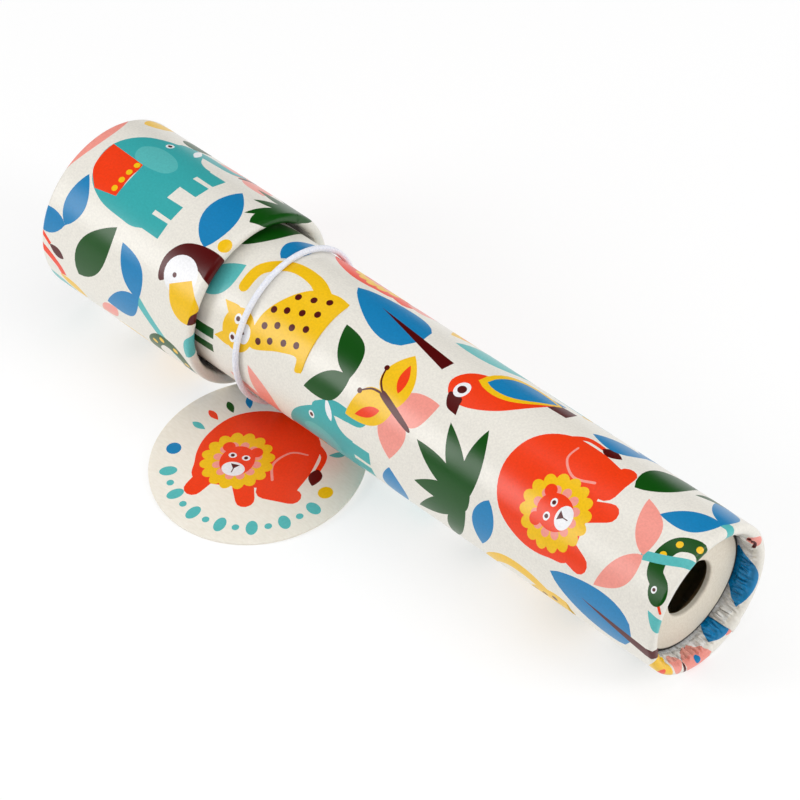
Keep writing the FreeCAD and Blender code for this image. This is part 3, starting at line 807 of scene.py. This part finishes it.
class Fold:
    """Paper rolled round a tube and folded over one or both of its ends, down inside its bore.

    u runs along the toy and is its place along the axis on the outside; past a lip it goes on round the
    edge and back inside, as far as the paper does. Each lip is (place, round, direction).
    """
    # How soon the lap rises from its side, from its end and beside the elastic, and how far that presses it.
    SIDE_RISE, END_RISE, PRESSED_RISE, PRESSED = 0.9, 3, 1.4, 3.6

    def __init__(self, radius, lips, seam, lap_from, pleats):
        self.radius = radius
        self.lips = lips
        self.seam = seam
        self.lap_from = lap_from
        self.pleats = pleats

    def profile(self, u):
        """Place along the axis, distance from it, the outward normal's two parts, and depth past a lip."""
        for end, lip, direction in self.lips:
            past = direction * (u - end) + lip
            if past <= 0:
                continue
            quarter = lip * pi / 2
            flat = WALL - 2 * lip
            centre = end - direction * lip
            if past < quarter:
                turn = past / lip
                reach = self.radius - lip + lip * cos(turn)
                return centre + direction * lip * sin(turn), reach, direction * sin(turn), cos(turn), 0
            if past < quarter + flat:
                return end, self.radius - lip - (past - quarter), direction, 0, 0
            past -= quarter + flat
            bore = self.radius - WALL
            if past < quarter:
                turn = past / lip
                reach = bore + lip - lip * sin(turn)
                return centre + direction * lip * cos(turn), reach, direction * cos(turn), -sin(turn), past
            past -= quarter
            return centre - direction * past, bore, 0, -1, past + quarter
        return u, self.radius, 0, 1, 0

    def lift(self, u, v):
        """How far the seam's lap raises the paper; under the elastic it is pressed flat."""
        over = smooth_step((v - self.radius * self.seam) / self.SIDE_RISE + 1)
        started = smooth_step((u - self.lap_from) / self.END_RISE)
        pressed = smooth_step((self.PRESSED - abs(u - LOOP_MIDDLE)) / self.PRESSED_RISE)
        return PAPER * over * started * (1 - pressed)

    def sides(self):
        """Where the sheet starts and ends round the tube."""
        return self.radius * (self.seam - tau), self.radius * self.seam

    def front(self, u, v):
        along, reach, normal_along, normal_out, depth = self.profile(u)
        angle = v / self.radius
        raised = self.lift(u, v) + self.pleats.height(angle, depth)
        return on_axis(along + raised * normal_along, angle, reach + raised * normal_out)

    def back(self, u, v):
        along, reach, normal_along, normal_out, _ = self.profile(u)
        raised = self.lift(u, v) - PAPER
        return on_axis(along + raised * normal_along, v / self.radius, reach + raised * normal_out)


class Pleats:
    """Small uneven folds that take up the paper where it is pushed down inside a bore."""
    STARTS = (-0.5, 1.2)
    BLUNTNESS = 0.6
    PRESSED, PRESSED_OVER = 0.95, 0.6

    def __init__(self, seed, count, height, smooth_band, fade, pressed_at=100.0):
        self.tallest = height
        self.band = smooth_band
        self.fade = fade
        self.pressed_at = pressed_at
        rng = random.Random(seed)
        self.step = tau / count
        self.folds = []
        for i in range(count):
            self.folds.append({
                "at": (i + rng.uniform(-0.35, 0.35)) * self.step,
                "half": self.step * rng.uniform(0.4, 0.85),
                "height": rng.uniform(0.35, 1),
                "start": rng.uniform(*self.STARTS),
                "slant": rng.uniform(-0.02, 0.02),
                "crest": rng.choice((0.14, 0.2, 0.3, 0.7, 0.84)),
            })

    def height(self, angle, depth):
        """How far the folds stand off the wall: each rises slowly to its crest and drops behind it."""
        if depth <= self.band + self.STARTS[0]:
            return 0.0
        angle %= tau
        middle = int(angle / self.step)
        best = 0.0
        for k in range(middle - 2, middle + 4):
            fold = self.folds[k % len(self.folds)]
            away = angle - fold["at"] - fold["slant"] * (depth - self.band)
            away = (away + pi) % tau - pi
            place = (away / fold["half"] + 1) / 2
            grown = smooth_step((depth - self.band - fold["start"]) / self.fade)
            if 0 < place < 1 and grown > 0:
                crest = fold["crest"]
                rise = place / crest if place < crest else (1 - place) / (1 - crest)
                best = max(best, grown * fold["height"] * sin(pi / 2 * rise) ** self.BLUNTNESS)
        pressed = self.PRESSED * smooth_step((depth - self.pressed_at) / self.PRESSED_OVER)
        return self.tallest * best * (1 - pressed)


def even(start, end, step):
    """Places from start to end, about a step apart."""
    count = max(1, round((end - start) / step))
    return [start + (end - start) * i / count for i in range(count + 1)]


def grid_of(rows, v0, v1, columns):
    """Points at each row, the odd rows shifted half a step, inside the sheet's two sides."""
    step = (v1 - v0) / columns
    grid = []
    for i, u in enumerate(rows):
        first, count = (0.5, columns) if i % 2 else (1, columns - 1)
        grid += [(u, v0 + (first + k) * step) for k in range(count)]
    return grid


def rolled(lip):
    """Length of the paper round a lip, from the outside of the wall to its inside."""
    return pi * lip + WALL - 2 * lip


def make_body_wrap(looks):
    """Printed paper of the viewing tube, pleated where it goes down inside the eye end."""
    pleats = Pleats(seed=7, count=118, height=0.66, smooth_band=1.4, fade=0.9, pressed_at=4.6)
    fold = Fold(TUBE_RADIUS, [(TOTAL_LENGTH, LIP_ROUND, 1)], BODY_SEAM, BODY_LAP_START, pleats)
    edge = TOTAL_LENGTH - LIP_ROUND
    inside = edge + rolled(LIP_ROUND)
    last = inside + EYE_TURN_IN - LIP_ROUND
    low, high = fold.sides()
    lapped = high + BODY_LAP
    border = [(TUBE_START, low), (last, low), (last, lapped), (BODY_LAP_START, lapped),
              (BODY_LAP_START, high), (TUBE_START, high)]
    grid = grid_of(even(TUBE_START, edge, 1.25), low, lapped, 128)
    grid += grid_of(even(edge, inside, 0.26)[1:-1], low, lapped, 180)
    grid += grid_of(even(inside, PLEATS_SEEN, 0.5), low, lapped, 1700)
    grid += grid_of(even(PLEATS_SEEN, last, 1.2)[1:], low, lapped, 500)
    back_rows = even(TUBE_START, edge, 5)[1:] + even(edge, inside, 0.4)[1:] + even(inside, last, 2)[1:-1]
    back_grid = grid_of(back_rows, low, lapped, 96)
    paper_piece("body_print", border, placed(BODY_ART, TUBE_RADIUS), grid, back_grid, fold.front, fold.back,
                looks, "tube", "body_wrap", (0, inside + CREASES_START))


def make_drum_wrap(looks):
    """Printed paper of the drum, folded into both of its ends."""
    pleats = Pleats(seed=11, count=104, height=0.2, smooth_band=0.8, fade=0.8)
    lips = [(DRUM_LENGTH, LIP_ROUND, 1), (0, FRONT_ROUND, -1)]
    fold = Fold(DRUM_RADIUS, lips, DRUM_SEAM, DRUM_LAP_START, pleats)
    front_edge, rear_edge = FRONT_ROUND, DRUM_LENGTH - LIP_ROUND
    front_inside, rear_inside = front_edge - rolled(FRONT_ROUND), rear_edge + rolled(LIP_ROUND)
    first = front_inside - (FRONT_TURN_IN - FRONT_ROUND)
    last = rear_inside + DRUM_TURN_IN - LIP_ROUND
    low, high = fold.sides()
    border = [(first, low), (last, low), (last, high), (first, high)]
    grid = grid_of(even(first, front_inside, 0.7), low, high, 420)
    grid += grid_of(even(front_inside, front_edge, 0.24), low, high, 220)
    grid += grid_of(even(front_edge, rear_edge, 1.3)[1:], low, high, 150)
    grid += grid_of(even(rear_edge, rear_inside, 0.26)[1:], low, high, 220)
    grid += grid_of(even(rear_inside, last, 0.7)[1:], low, high, 420)
    back_rows = even(first, front_inside, 3)[1:] + even(front_inside, front_edge, 0.4)[1:]
    back_rows += even(front_edge, rear_edge, 4)[1:] + even(rear_edge, rear_inside, 0.4)[1:]
    back_rows += even(rear_inside, last, 3)[1:-1]
    back_grid = grid_of(back_rows, low, high, 96)
    paper_piece("drum_print", border, placed(DRUM_ART, DRUM_RADIUS), grid, back_grid, fold.front, fold.back,
                looks, "drum", "drum_wrap", (front_inside, rear_inside))


# ---- gift tag

def tag_art():
    """A lion in a ring of dots and leaves."""
    shapes = [(ink, [(x, y + TAG_LION_RAISED) for x, y in outline]) for ink, outline in lion()]
    shapes += [("blue", dot(-18.2, -1.7, 1.6)), ("yellow", dot(16.9, -4.7, 1.6))]
    inks = ("mint", "orange", "green", "blue", "pink")
    for i in range(11):
        angle = radians(160 - 14 * i)
        x, y = polar(TAG_LEAF_RING, angle)
        if hypot(x, y - TAG_HOLE_OFFSET) > TAG_HOLE_RADIUS + 2:
            shapes.append((inks[i % len(inks)], leaf(x, y, 3.6, 1.5, degrees(angle) + 90)))
    for i in range(13):
        angle = radians(205 + 10.4 * i)
        x, y = polar(TAG_DOT_RING, angle)
        shapes.append(("mint", dot(x, y, 0.8) if i % 2 else oval(x, y, 1.25, 1.9, degrees(angle) - 90)))
    return shapes


def make_tag(looks):
    """Round card with its hole, printed on top of warm white board."""
    looks = {**looks, "paper": card_look("tag_board", "F2ECE0", "EBE4D6", 0.6)}
    hole_place = Vector(JOINTS["tag_swivel"]["pos_m"])
    turn = Matrix.Rotation(TAG_TURN, 3, "Z") @ Matrix.Rotation(TAG_LIFT, 3, "X")
    low = MM * TAG_RADIUS * sin(TAG_LIFT)
    offset = turn @ Vector((0, MM * TAG_HOLE_OFFSET, 0))
    middle = Vector((hole_place.x - offset.x, hole_place.y - offset.y, low))

    def face(height, drop):
        def place(x, y):
            worn = smooth_step((hypot(x, y) - TAG_RADIUS + TAG_EDGE) / TAG_EDGE)
            return middle + turn @ (MM * Vector((x, y, height - drop * worn)))
        return place

    shapes = tag_art() + [(None, oval(0, TAG_HOLE_OFFSET, TAG_HOLE_RADIUS, TAG_HOLE_RADIUS, count=40))]
    border = oval(0, 0, TAG_RADIUS, TAG_RADIUS, count=120)
    grid = []
    for reach in [0.2 + 1.6 * i for i in range(14)] + [TAG_RADIUS - TAG_EDGE, TAG_RADIUS - TAG_EDGE / 2]:
        grid += oval(0, 0, reach, reach, count=max(6, int(3.6 * reach)))
    return paper_piece("gift_tag", border, shapes, grid, grid, face(TAG_THICKNESS, TAG_EDGE_DROP),
                       face(0, -TAG_EDGE_DROP), looks, "tag", "tag_card")


# ---- elastic

def loop_along(angle):
    """Where the leaning loop is along the toy, at an angle from its top."""
    return LOOP_MIDDLE - LOOP_LEAN_UP * cos(angle) - LOOP_LEAN_ACROSS * sin(angle)


def cord_points():
    """The elastic's route, in metres."""
    route = [(radians(around), reach) for around, reach in CORD_ROUTE]
    return [on_axis(loop_along(angle), angle, reach) for angle, reach in route]


def smooth_line(name, points):
    """A NURBS line with the points as its control points."""
    curve = bpy.data.curves.new(name, "CURVE")
    curve.dimensions = "3D"
    curve.resolution_u = 24
    spline = curve.splines.new("NURBS")
    spline.points.add(len(points) - 1)
    for control, point in zip(spline.points, points):
        control.co = (*point, 1)
    spline.order_u = 3
    spline.use_endpoint_u = True
    return new_object(name, curve)


def line_points(line):
    """Points along a NURBS line, as Blender draws it."""
    bpy.context.view_layer.update()
    mesh = bpy.data.meshes.new_from_object(line.evaluated_get(bpy.context.evaluated_depsgraph_get()))
    points = [v.co.copy() for v in mesh.vertices]
    bpy.data.meshes.remove(mesh)
    bpy.data.objects.remove(line)
    return points


def spaced(points, step):
    """The same line with its points an even step apart."""
    result = [points[0]]
    left = step
    for a, b in zip(points, points[1:]):
        run = (b - a).length
        done = 0.0
        while run - done >= left:
            done += left
            result.append(a.lerp(b, done / run))
            left = step
        left -= run - done
    return result + [points[-1]]


def braided_tube(path, radius, lump, pitch=2.6 * MM):
    """A tube of crossing strands: two sets of helical ridges, one over the other in turn."""
    around, strands = 24, 8
    verts, faces = [], []
    normal = Vector((1, 0, 0))
    travelled = 0.0
    for i, here in enumerate(path):
        ahead = path[min(i + 1, len(path) - 1)] - path[max(i - 1, 0)]
        tangent = ahead.normalized()
        normal = (normal - tangent * normal.dot(tangent)).normalized()
        side = tangent.cross(normal)
        if i:
            travelled += (here - path[i - 1]).length
        turn = travelled / pitch
        for k in range(around):
            share = k / around
            one = cos(tau * (strands / 2 * share + turn))
            two = cos(tau * (strands / 2 * share - turn))
            bulge = max(abs(one), abs(two)) ** 2 - 0.75
            reach = radius - lump / 2 + lump * bulge
            angle = tau * share
            verts.append(here + reach * (normal * cos(angle) + side * sin(angle)))
    for i in range(len(path) - 1):
        for k in range(around):
            a, b = i * around + k, i * around + (k + 1) % around
            faces.append((a, b, b + around, a + around))
    faces.append(tuple(reversed(range(around))))
    faces.append(tuple(range(len(verts) - around, len(verts))))
    return verts, faces


def mesh_object(name, verts, faces, material):
    """A smooth piece of one material; faces of more than four corners stay flat."""
    mesh = bpy.data.meshes.new(name)
    mesh.from_pydata(verts, [], faces)
    mesh.polygons.foreach_set("use_smooth", [len(f) <= 4 for f in faces])
    mesh.materials.append(material)
    mesh.update()
    return new_object(name, mesh)


def make_elastic(material):
    """The braided elastic, its knot and its two short ends."""
    path = spaced(line_points(smooth_line("elastic_line", cord_points())), CORD_STEP * MM)
    verts, faces = braided_tube(path, MM * CORD_RADIUS, 0.1 * MM, pitch=7 * MM)
    cord = mesh_object("elastic_cord", verts, faces, material)
    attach(cord, "loop")
    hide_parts("elastic_loop")
    knot = make_knot(material)
    length = sum((b - a).length for a, b in zip(path, path[1:]))
    tuple(path[0])
    [tuple(p) for p in path]


def make_knot(material):
    """An overhand knot pulled tight, with a short tail at each side."""
    angle = radians(KNOT_ANGLE)
    middle = on_axis(loop_along(angle), angle, KNOT_REACH)
    out = (UP * cos(angle) + SIDE * sin(angle)).normalized()
    round_way = AXIS.cross(out).normalized()
    steps, size, depth = 72, 0.35, 0.45
    loop = []
    for i in range(steps + 1):
        t = tau * i / steps
        a = size * (sin(t) + 2 * sin(2 * t))
        b = size * (cos(t) - 2 * cos(2 * t))
        c = -depth * sin(3 * t)
        loop.append(middle + MM * (1.25 * a * round_way + 0.95 * b * AXIS + c * out))
    verts, faces = braided_tube(loop, KNOT_STRAND * MM, 0.08 * MM, pitch=2 * MM)
    for side, reach in ((1, 3.6), (-1, 2.9)):
        tail = smooth_line("tail_line", [
            middle,
            middle + MM * (0.9 * side * AXIS + 0.4 * out),
            middle + MM * (1.9 * side * AXIS + 0.8 * out + 0.4 * round_way),
            middle + MM * (reach * side * AXIS + 0.7 * out + 0.7 * round_way),
        ])
        tail_path = spaced(line_points(tail), CORD_STEP * MM)
        more, more_faces = braided_tube(tail_path, KNOT_STRAND * MM, 0.09 * MM)
        faces += [tuple(len(verts) + i for i in f) for f in more_faces]
        verts += more
    knot = mesh_object("elastic_tied_knot", verts, faces, material)
    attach(knot, "loop")
    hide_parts("elastic_knot")
    return knot


# ---- CAD nodes that stay

def finish_cad_nodes():
    """Gives every CAD node that shows its own finish."""
    kraft = card_look("kraft_board", "A98C66", "93774F")
    white = card_look("white_board", "E3E0D8", "D3CFC4")
    packing = corrugated_look()
    clear = clear_look("clear_sheet", 0.03, "EAF2F4")
    frosted = clear_look("frosted_sheet", 0.45, "EEF2F2", 0.00006)
    mirror = mirror_look()
    finishes = {
        "body_tube": kraft, "drum_tube": kraft, "retaining_collar": kraft, "drum_bush": kraft,
        "chamber_back_ring": kraft, "eye_seat_ring": kraft, "mirror_sleeve": kraft,
        "end_ring": white, "chamber_spacer": white, "eyepiece_disc": eyepiece_look(),
        "front_window": clear, "eye_window": clear, "chamber_window": clear, "diffuser_window": frosted,
    }
    for i in (1, 2, 3):
        finishes[f"mirror_{i}"] = mirror
        finishes[f"packing_pad_{i}"] = packing
    for colour, code in BEADS.items():
        finishes[f"beads_{colour}"] = bead_look(f"bead_{colour}", code)
    for node, material in finishes.items():
        for slot in frame["nodes"][node].material_slots:
            slot.material = material


# ---- studio, in metres

FLOOR = 3.0
LIT_POINT = (0, 0, 0.02)
CAMERA_PLACE = (0.3649, -0.31455, 0.48116)
CAMERA_LENS = 148.413


def make_floor():
    """A pale, matte sweep of paper under the toy."""
    mesh = bpy.data.meshes.new("floor")
    corners = [(-FLOOR, -FLOOR, 0), (FLOOR, -FLOOR, 0), (FLOOR, FLOOR, 0), (-FLOOR, FLOOR, 0)]
    mesh.from_pydata(corners, [], [(0, 1, 2, 3)])
    look = Look("floor_paper", "AEAEAE", 0.9, Specular_IOR_Level=0.2, Emission_Strength=0.58)
    look.shader.inputs["Emission Color"].default_value = (1, 1, 1, 1)
    look.bump(look.noise(400, 4), 0.00002, 0.3)
    mesh.materials.append(look.material)
    new_object("floor", mesh)


def add_light(name, place, size, power):
    """A square light that points at the toy."""
    light = bpy.data.lights.new(name, "AREA")
    light.shape = "SQUARE"
    light.size = size
    light.energy = power
    thing = new_object(name, light)
    thing.location = place
    thing.rotation_euler = (Vector(LIT_POINT) - Vector(place)).to_track_quat("-Z", "Y").to_euler()


def make_lights():
    """A soft key from the near left, a fill that shines into the eye end, a broad top light and a white
    surround."""
    world = bpy.data.worlds.new("studio")
    world.use_nodes = True
    background = world.node_tree.nodes["Background"]
    background.inputs["Color"].default_value = (1, 1, 1, 1)
    background.inputs["Strength"].default_value = 0.45
    bpy.context.scene.world = world
    world.cycles_visibility.glossy = False
    add_light("key", (-0.42, -0.56, 0.36), 0.34, 2.1)
    add_light("fill", (0.62, 0.22, 0.4), 0.3, 1.7)
    add_light("top", (0.1, 0.1, 0.9), 0.9, 3.1)


def make_camera():
    """The view that the toy is seen from, turned a little about its own axis."""
    azimuth, elevation, roll = radians(49.05), radians(44.03), radians(-5.95)
    back = Vector((sin(azimuth) * cos(elevation), -cos(azimuth) * cos(elevation),
                   sin(elevation)))
    level = Vector((cos(azimuth), sin(azimuth), 0))
    above = back.cross(level)
    right = cos(roll) * level + sin(roll) * above
    upward = back.cross(right)
    camera = new_object("camera", bpy.data.cameras.new("camera"))
    camera.data.sensor_width = 36
    camera.data.lens = CAMERA_LENS
    camera.data.clip_start = 0.05
    turned_to = Matrix((right, upward, back)).transposed().to_4x4()
    camera.matrix_world = Matrix.Translation(CAMERA_PLACE) @ turned_to
    bpy.context.scene.camera = camera


def main():
    make_camera()
    looks = printed_looks()
    tag = make_tag(looks)
    make_elastic(elastic_look())
    make_body_wrap(looks)
    make_drum_wrap(looks)
    finish_cad_nodes()
    make_floor()
    make_lights()
    bpy.context.scene.view_settings.view_transform = "Standard"


main()
